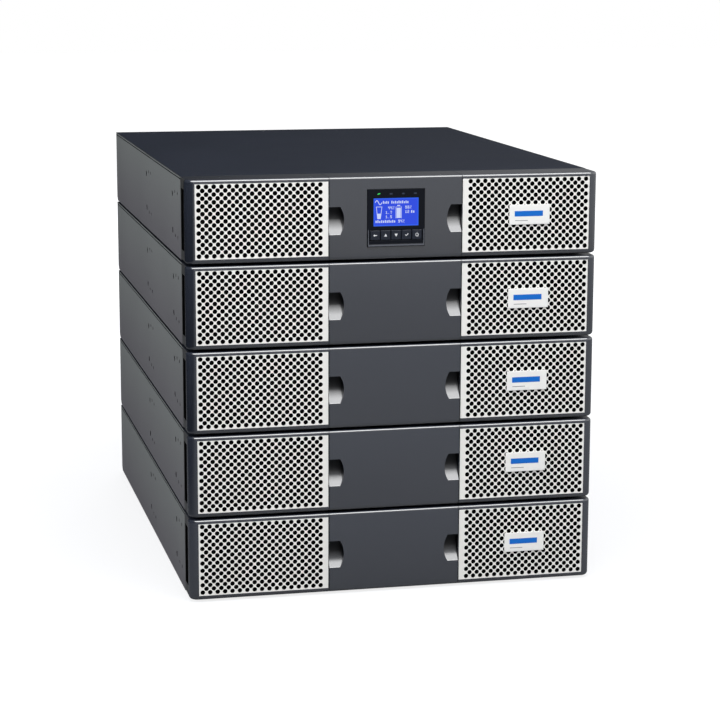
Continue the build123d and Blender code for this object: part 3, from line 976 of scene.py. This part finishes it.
for module in MODULES:
    dress(module + "_rear_panel", CASE, 0.2 * MM)
dress("badges", BADGE, 0.35 * MM)
dress("display_housing", DISPLAY, 0.25 * MM)
dress("display_screen", SCREEN)
dress("indicator_lights", SMOKED)
for key in KEYS:
    dress("key_" + key, KEY, 0.15 * MM)
dress("ups_outlets", SOCKET, 0.25 * MM)
dress("ups_inlet", INLET, 0.25 * MM)
dress("battery_connectors", SHROUD, 0.25 * MM)
dress("ups_card_slot_cover", CASE, 0.2 * MM)
dress("ups_ports", ZINC, 0.2 * MM)


# Fasteners and the serial port at the rear

SCREW_RADIUS = 2.9 * MM
SCREW_RISE = 1.6 * MM
SCREW_EDGE = 0.06 * MM
SCREW_XS = (-212 * MM, -75 * MM, 75 * MM, 212 * MM)
SCREW_FROM_MIDDLE = 38.2 * MM
CARD_SCREW_INSET = 4.2 * MM
# Radius and height of the pan head's rings, as shares of the whole head's
PAN_HEAD = ((1.0, 0.0), (1.0, 0.35), (0.94, 0.62), (0.75, 0.87), (0.45, 1.0))
# The cross recess, as shares of the head's radius and height
CROSS_LONG = 1.15
CROSS_WIDE = 0.26
CROSS_FLOOR = 0.35


def screw_head():
    """Mesh of a pan head with a cross recess that faces the rear, its seat at the origin."""
    head, cross = Shape(), Shape()
    head.loft([[(u, rise * SCREW_RISE, v) for u, v in circle(ROUND_STEPS, share * SCREW_RADIUS)]
               for share, rise in PAN_HEAD])
    long, wide = CROSS_LONG * SCREW_RADIUS, CROSS_WIDE * SCREW_RADIUS
    for across, up in ((long, wide), (wide, long)):
        cross.box(0, 0, across, up, CROSS_FLOOR * SCREW_RISE, 2 * SCREW_RISE)
    made = carved(head.solid("screw_head"), cross.solid("cutter"), SCREW_EDGE)
    mesh = made.data
    bpy.data.objects.remove(made)
    return mesh


def make_screws():
    """Pan-head screws that hold the rear panels and the blanking plate of the card slot."""
    head = screw_head()
    screws = Shape()
    for level in range(len(MODULES)):
        for x in SCREW_XS:
            for rise in (-SCREW_FROM_MIDDLE, SCREW_FROM_MIDDLE):
                screws.stamp(head, (x, PANEL_Y, middle_of(level) + rise))
    low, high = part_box("ups_card_slot_cover")
    for x in (low.x + CARD_SCREW_INSET, high.x - CARD_SCREW_INSET):
        screws.stamp(head, (x, high.y, front_middle(low, high)[1]))
    finished(screws.solid("rear_screws"), ZINC)


# Width, height, taper and corner radius of the port's shell, its bore and its insert
PORT_SHELL = (17.0 * MM, 8.6 * MM, 1.1 * MM, 2.2 * MM)
PORT_BORE = (15.8 * MM, 7.4 * MM, 1.0 * MM, 1.7 * MM)
PORT_INSERT = (15.0 * MM, 6.6 * MM, 0.9 * MM, 1.5 * MM)
# Depths of its pieces and of their bores, from the plate outwards
SHELL_SPAN = (-0.3 * MM, 1.4 * MM)
POST_SPAN = (-0.3 * MM, 1.3 * MM)
INSERT_SPAN = (0.1 * MM, 1.1 * MM)
SHELL_BORE_SPAN = (0.2 * MM, 2 * MM)
POST_BORE_SPAN = (0.3 * MM, 2 * MM)
PIN_SPAN = (0.5 * MM, 2 * MM)
SHELL_EDGE = 0.12 * MM
INSERT_EDGE = 0.05 * MM
# The hexagonal posts on both sides of the port, and the holes for its contacts
POST_X = 12.4 * MM
POST_RADIUS = 2.5 * MM
POST_BORE_RADIUS = 1.3 * MM
PIN_RADIUS = 0.6 * MM
PIN_PITCH = 2.77 * MM
PIN_RISE = 1.42 * MM
# Side of the middle, and number of holes, of each row
PIN_ROWS = ((-1, 4), (1, 5))


def d_outline(wide, tall, taper, radius):
    """Outline of a D-shaped plug face, wider at its top, with a curve at each corner."""
    corners = [(-wide / 2 + taper, -tall / 2), (wide / 2 - taper, -tall / 2),
               (wide / 2, tall / 2), (-wide / 2, tall / 2)]
    outline = []
    for index, corner in enumerate(corners):
        before = Vector(corners[index - 1]) - Vector(corner)
        after = Vector(corners[(index + 1) % 4]) - Vector(corner)
        start = Vector(corner) + before.normalized() * radius
        end = Vector(corner) + after.normalized() * radius
        for share in (0.0, 0.25, 0.5, 0.75, 1.0):
            near_start = start.lerp(Vector(corner), share)
            near_end = Vector(corner).lerp(end, share)
            outline.append(tuple(near_start.lerp(near_end, share)))
    return outline


def make_serial_port():
    """D-shaped metal shell, its black insert with nine contact holes, and two hexagonal posts."""
    low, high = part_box("ups_ports")
    middle_x, middle_z = front_middle(low, high)

    def stand(shape, outline, span, across=0.0, up=0.0):
        """Adds an outline at a place on the plate, between two distances from it."""
        shape.prism([(middle_x + across + u, middle_z + up + v) for u, v in outline],
                    high.y + span[0], high.y + span[1])

    shell, bores, insert, pins = Shape(), Shape(), Shape(), Shape()
    stand(shell, d_outline(*PORT_SHELL), SHELL_SPAN)
    for across in (-POST_X, POST_X):
        stand(shell, circle(6, POST_RADIUS), POST_SPAN, across)
        stand(bores, circle(12, POST_BORE_RADIUS), POST_BORE_SPAN, across)
    stand(bores, d_outline(*PORT_BORE), SHELL_BORE_SPAN)
    carved_piece(shell.solid("serial_port_shell"), bores, SHELL_EDGE, ZINC)
    stand(insert, d_outline(*PORT_INSERT), INSERT_SPAN)
    for row, count in PIN_ROWS:
        for place in range(count):
            stand(pins, circle(8, PIN_RADIUS), PIN_SPAN,
                  (place - (count - 1) / 2) * PIN_PITCH, row * PIN_RISE)
    carved_piece(insert.solid("serial_port_insert"), pins, INSERT_EDGE, SOCKET)


make_screws()
make_serial_port()


# Marks on the display, its keys and the badges

MARK_RISE = 0.06 * MM
FONT_DOT = 0.6 * MM
# The part of its place that each dot fills
DOT_FILL = 0.92
GLYPHS = {
    "0": ("111", "101", "101", "101", "111"),
    "1": ("010", "110", "010", "010", "111"),
    "2": ("111", "001", "111", "100", "111"),
    "3": ("111", "001", "111", "001", "111"),
    "4": ("101", "101", "111", "001", "001"),
    "5": ("111", "100", "111", "001", "111"),
    "7": ("111", "001", "010", "010", "010"),
    "8": ("111", "101", "111", "101", "111"),
    "9": ("111", "101", "111", "001", "111"),
    ".": ("000", "000", "000", "000", "010"),
    "%": ("101", "001", "010", "100", "101"),
}


def write_figures(shape, text, right_x, middle_z, near):
    """Plain figures in a dot font, ending at right_x."""
    step = 4 * FONT_DOT
    for place, figure in enumerate(reversed(text)):
        for row, dots in enumerate(GLYPHS[figure]):
            for column, dot in enumerate(dots):
                if dot == "1":
                    shape.box(right_x - place * step - (2.5 - column) * FONT_DOT,
                              middle_z + (2 - row) * FONT_DOT,
                              FONT_DOT * DOT_FILL, FONT_DOT * DOT_FILL, near,
                              near + MARK_RISE)


LETTER_WIDE = 1.9 * MM
LETTER_FILL = 0.62
LETTER_TALL = 2.8 * MM
# How much lower than the tallest each block of a word is, as shares of 60% of the height
LETTER_DROPS = (0.0, 0.35, 0.1, 0.45, 0.0, 0.25)


def blur_word(shape, left_x, right_x, middle_z, near):
    """A word's place on the screen: a row of uneven blocks that spell nothing."""
    count = max(round((right_x - left_x) / LETTER_WIDE), 2)
    step = (right_x - left_x) / count
    for place in range(count):
        drop = LETTER_DROPS[(place * 5 + count) % len(LETTER_DROPS)] * LETTER_TALL * 0.6
        shape.box(left_x + (place + 0.5) * step, middle_z - drop / 2, step * LETTER_FILL,
                  LETTER_TALL - drop, near, near + MARK_RISE)


# Places on the screen are in millimetres, from its left edge and down from its upper edge.
# Left end, right end and middle height of each word
SCREEN_WORDS = ((9.6, 16.6, 4.3), (18.6, 37.5, 4.3), (1.8, 23.5, 24.2), (39.6, 44.0, 14.4))
# Figures, their right end and their middle height
SCREEN_FIGURES = (("44%", 22.1, 10.2), ("1.7", 19.6, 14.9), ("1.5", 19.6, 19.4),
                  ("98%", 40.4, 9.8), ("12", 38.0, 14.4), ("94%", 33.0, 24.2))
# Sine sign: start, length, middle height, swing and steps
WAVE_LEFT, WAVE_LONG, WAVE_MIDDLE, WAVE_SWING, WAVE_STEPS = 1.8, 7.0, 4.5, 2.2, 20
WAVE_LINE = 0.8 * MM
# Tapered load column: its three outer lines, and its filled lower part
LOAD_LINES = (((2.7, 9.0), (9.2, 9.0)), ((3.0, 9.0), (4.4, 21.4)), ((8.9, 9.0), (7.4, 21.4)))
LOAD_FILL = ((4.4, 21.6), (7.4, 21.6), (8.1, 16.0), (3.8, 16.0))
LOAD_LINE = 0.6 * MM
# Battery column: its cap and its fill by their middle and size, and its outer line
BATTERY_CAP, CAP_SIZE = (26.8, 7.9), (3.2 * MM, 1.0 * MM)
BATTERY_FILL, FILL_SIZE = (26.8, 15.6), (4.4 * MM, 10.6 * MM)
BATTERY_SIDES = ((23.9, 21.2), (23.9, 9.2), (29.7, 9.2), (29.7, 21.2))
BATTERY_LINE = 0.55 * MM


def make_screen_marks():
    """Sine sign, load and battery columns, figures, and blocks where words would be."""
    low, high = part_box("display_screen")
    near, far = low.y - MARK_RISE, low.y

    def at(place):
        return low.x + place[0] * MM, high.z - place[1] * MM

    marks = Shape()
    wave = [(WAVE_LEFT + WAVE_LONG * part / WAVE_STEPS,
             WAVE_MIDDLE - WAVE_SWING * math.sin(2 * math.pi * part / WAVE_STEPS))
            for part in range(WAVE_STEPS + 1)]
    marks.stroke([at(place) for place in wave], WAVE_LINE, near, far)
    for left, right, down in SCREEN_WORDS:
        blur_word(marks, at((left, 0))[0], *at((right, down)), near)
    for figures, right, down in SCREEN_FIGURES:
        write_figures(marks, figures, *at((right, down)), near)
    for line in LOAD_LINES:
        marks.stroke([at(place) for place in line], LOAD_LINE, near, far)
    marks.prism([at(place) for place in LOAD_FILL], near, far)
    marks.box(*at(BATTERY_CAP), *CAP_SIZE, near, far)
    marks.stroke([at(place) for place in BATTERY_SIDES], BATTERY_LINE, near, far)
    marks.box(*at(BATTERY_FILL), *FILL_SIZE, near, far)
    marks.piece("screen_marks", SCREEN_MARK, "screen_blue")


# Outlines of the keys' arrows, and the tick's line, in millimetres from the key's middle
ARROWS = {
    "back": (((-1.9, 0), (-0.4, -1.3), (-0.4, 1.3)),
             ((-0.4, -0.4), (1.9, -0.4), (1.9, 0.4), (-0.4, 0.4))),
    "up": (((-1.6, -1.3), (1.6, -1.3), (0, 1.7)),),
    "down": (((0, -1.7), (1.6, 1.3), (-1.6, 1.3)),),
}
TICK = ((-1.6, 0.2), (-0.5, -1.0), (1.8, 1.3))
TICK_LINE = 0.85 * MM
# The power sign: a ring with a gap at the top, from one angle to another, and an upright bar
POWER_RADIUS = 1.55 * MM
POWER_LINE = 0.55 * MM
POWER_START, POWER_END = 125, 415
POWER_STEPS = 16


def make_key_marks():
    """One pale mark on each key: back, up, down, tick and the power sign."""
    for key in KEYS:
        low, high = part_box("key_" + key)
        x, z = front_middle(low, high)
        near, far = low.y - MARK_RISE, low.y
        mark = Shape()
        for outline in ARROWS.get(key, ()):
            mark.prism([(x + u * MM, z + v * MM) for u, v in outline], near, far)
        if key == "enter":
            mark.stroke([(x + u * MM, z + v * MM) for u, v in TICK], TICK_LINE, near, far)
        elif key == "power":
            mark.ring(x, z - 0.1 * MM, POWER_RADIUS, POWER_LINE, POWER_START, POWER_END,
                      POWER_STEPS, near, far)
            mark.box(x, z + 1.0 * MM, POWER_LINE, 1.9 * MM, near, far)
        mark.piece("key_mark_" + key, KEY_MARK, "key_black", "key_" + key)


def make_lip_rails():
    """Low rails that carry the display's lip up both sides of the keys."""
    low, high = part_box("display_housing")
    rails = Shape()
    near = low.y + 0.2 * MM
    for side in (-1, 1):
        rails.box(side * (high.x - LIP_SIDE / 2), low.z + (LIP_HEIGHT + LIP_RISE) / 2, LIP_SIDE,
                  LIP_RISE - LIP_HEIGHT, near, near + 1.2 * MM)
    rails.piece("display_lip_rails", DISPLAY, "display_black")


# Slanted outline of the green lamp, in millimetres from its middle
LAMP_OUTLINE = ((-1.9, -0.9), (1.0, -0.2), (1.9, 1.0), (-0.9, 0.4))
# From the left end of the row of indicators to the middle of the lamp
LAMP_INSET = 1.5 * MM


def make_lamp():
    """The slanted green lamp at the left of the row of indicators."""
    low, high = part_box("indicator_lights")
    x, z = low.x + LAMP_INSET, front_middle(low, high)[1]
    lamp = Shape()
    lamp.prism([(x + u * MM, z + v * MM) for u, v in LAMP_OUTLINE], low.y - MARK_RISE, low.y)
    lamp.piece("green_lamp", GREEN_LAMP, "indicator_green")


# Place from the badge's middle, width and height, of the blue bar and of the grey rule
BADGE_BAR = (-1 * MM, 1.0 * MM, 31 * MM, 5.8 * MM)
BADGE_RULE = (-9 * MM, -6.2 * MM, 14 * MM, 0.7 * MM)


def make_badge_marks():
    """A plain blue bar and a thin grey rule on each badge."""
    low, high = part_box("badges")
    x, _ = front_middle(low, high)
    near = low.y - MARK_RISE
    bars, rules = Shape(), Shape()
    for level in range(len(MODULES)):
        for shape, (u, v, wide, tall) in ((bars, BADGE_BAR), (rules, BADGE_RULE)):
            shape.box(x + u, middle_of(level) + v, wide, tall, near, low.y)
    bars.piece("badge_bars", BADGE_BLUE, "badge_white")
    rules.piece("badge_rules", BADGE_GREY, "badge_white")


make_screen_marks()
make_key_marks()
make_lip_rails()
make_lamp()
make_badge_marks()


# Sky, floor, lamps and camera

BLACK = (0.0, 0.0, 0.0, 1.0)
WHITE = (1.0, 1.0, 1.0, 1.0)
SKY_LIGHT = (0.36, 0.36, 0.36, 1.0)
# Brightness of the sky in reflections: in its middle, lost towards the rear, and won to the right
GLOSS_MIDDLE = 0.08
GLOSS_FALL = 0.17
GLOSS_RISE = 0.8
GLOSS_LEAST = 0.02


def ray_kind(builder, name):
    """1 for rays of one kind, such as those that come straight from the camera."""
    return builder.node("ShaderNodeLightPath", output=name)


def grey(builder, level):
    """Colour of a brightness."""
    return builder.mix(level, BLACK, WHITE)


def make_sky():
    """White to the camera, plain to the lit surfaces, and uneven in reflections."""
    world = bpy.data.worlds.new("studio")
    bpy.context.scene.world = world
    world.use_nodes = True
    sky = Nodes(world.node_tree)
    direction = sky.node("ShaderNodeSeparateXYZ", {},
                         {"Vector": sky.node("ShaderNodeTexCoord", output="Generated")})
    rightwards, backwards, _ = [Wire(sky, output) for output in direction.socket.node.outputs]
    reflected = (GLOSS_MIDDLE - backwards * GLOSS_FALL + rightwards * GLOSS_RISE).most(GLOSS_LEAST)
    plain = sky.mix(ray_kind(sky, "Is Glossy Ray"), SKY_LIGHT, grey(sky, reflected))
    studio = sky.mix(ray_kind(sky, "Is Camera Ray"), plain, WHITE)
    sky.node("ShaderNodeOutputWorld", {},
             {"Surface": sky.node("ShaderNodeBackground", {}, {"Color": studio, "Strength": 1.0})})


FLOOR_HALF = 12.0
# Glow that the camera sees, near the part and from this distance on
FLOOR_NEAR_GLOW = 0.78
FLOOR_FAR_GLOW = 1.1
FLOOR_FAR = 1.6
# Glow that reflections see, and the distance at which it is full
FLOOR_MIRROR = 0.32
FLOOR_MIRROR_FAR = 3.4
# In reflections the floor darkens to the left, from here and over this width
FLOOR_LEFT = 0.1
FLOOR_LEFT_FADE = 0.7


def floor_paint():
    """Pale floor that takes a shadow, whose glow differs for the camera and for reflections."""
    finish = Finish("studio_floor_paint")
    x, y, _ = finish.axes()
    distance = x * x + y * y
    away = (distance / FLOOR_FAR ** 2).least(1.0)
    glow = FLOOR_NEAR_GLOW + (FLOOR_FAR_GLOW - FLOOR_NEAR_GLOW) * away
    far_away = (distance / FLOOR_MIRROR_FAR ** 2).least(1.0)
    leftwards = ((x * -1.0 - FLOOR_LEFT) / FLOOR_LEFT_FADE).least(1.0).most(0.0)
    mirrored = ray_kind(finish, "Is Glossy Ray")
    mirrored_glow = far_away * far_away * FLOOR_MIRROR * (1 - leftwards)
    clouds = finish.noise(finish.place, 0.8, 2.0)
    colour = finish.mix(clouds, paint("6c6e72"), paint("74767a"))
    return finish.surface(
        Base_Color=finish.mix(leftwards * mirrored, colour, paint("0a0a0a")),
        Roughness=0.9, Specular_IOR_Level=0.0,
        Emission_Color=grey(finish, glow * ray_kind(finish, "Is Camera Ray")
                            + mirrored_glow * mirrored),
        Emission_Strength=1.0)


def make_floor():
    """A wide flat floor."""
    mesh = bpy.data.meshes.new("studio_floor")
    mesh.from_pydata([(-FLOOR_HALF, -FLOOR_HALF, 0), (FLOOR_HALF, -FLOOR_HALF, 0),
                      (FLOOR_HALF, FLOOR_HALF, 0), (-FLOOR_HALF, FLOOR_HALF, 0)],
                     [], [(0, 1, 2, 3)])
    mesh.materials.append(floor_paint().material)
    floor = bpy.data.objects.new("studio_floor", mesh)
    bpy.context.scene.collection.objects.link(floor)


# Name, place, what it points at, its two sides in metres, watts, and whether reflections show it
SOFTBOXES = (
    ("overhead_softbox", (0.0, -1.35, 2.18), (0, -0.3, 0.25), 2.2, 2.1, 66, True),
    ("left_softbox", (-2.6, -0.6, 1.3), (0, 0, 0.25), 1.2, 1.2, 45, False),
    ("front_softbox", (1.2, -3.0, 1.3), (0, 0, 0.22), 1.4, 1.4, 8, False),
    ("rear_softbox", (0.5, 3.2, 1.7), (0, 0, 0.22), 1.6, 1.6, 62, False),
    ("right_softbox", (3.0, 0.3, 1.3), (0, 0, 0.25), 1.2, 1.2, 24, False),
)


def make_softboxes():
    """The lamps round the part."""
    for name, place, target, wide, deep, power, mirrored in SOFTBOXES:
        lamp = bpy.data.lights.new(name, "AREA")
        lamp.shape = "RECTANGLE"
        lamp.size = wide
        lamp.size_y = deep
        lamp.energy = power
        softbox = bpy.data.objects.new(name, lamp)
        softbox.location = place
        aim = Vector(target) - Vector(place)
        softbox.rotation_euler = aim.to_track_quat("-Z", "Y").to_euler()
        softbox.visible_glossy = mirrored
        bpy.context.scene.collection.objects.link(softbox)


make_sky()
make_floor()
make_softboxes()

# The camera that fits the photo's front: its place in metres, and its turns in degrees
CAMERA_PLACE = (-0.540, -2.4755, 0.6735)
CAMERA_YAW, CAMERA_PITCH, CAMERA_ROLL = -13.01, -10.69, -0.15
# Focal length over the photo's width, both in its pixels
CAMERA_FOCAL = 2170 / 720

camera_data = bpy.data.cameras.new("product_camera")
camera = bpy.data.objects.new("product_camera", camera_data)
bpy.context.scene.collection.objects.link(camera)
camera_data.sensor_width = 36.0
camera_data.lens = CAMERA_FOCAL * camera_data.sensor_width
camera_data.clip_start = 0.05
camera_data.clip_end = 60.0
camera.matrix_world = (Matrix.Translation(CAMERA_PLACE)
                       @ Matrix.Rotation(math.radians(CAMERA_YAW), 4, "Z")
                       @ Matrix.Rotation(math.radians(CAMERA_PITCH), 4, "X")
                       @ Matrix.Rotation(math.radians(CAMERA_ROLL), 4, "Y")
                       @ Matrix.Rotation(math.radians(90), 4, "X"))
bpy.context.scene.camera = camera
bpy.context.scene.view_settings.view_transform = "Standard"
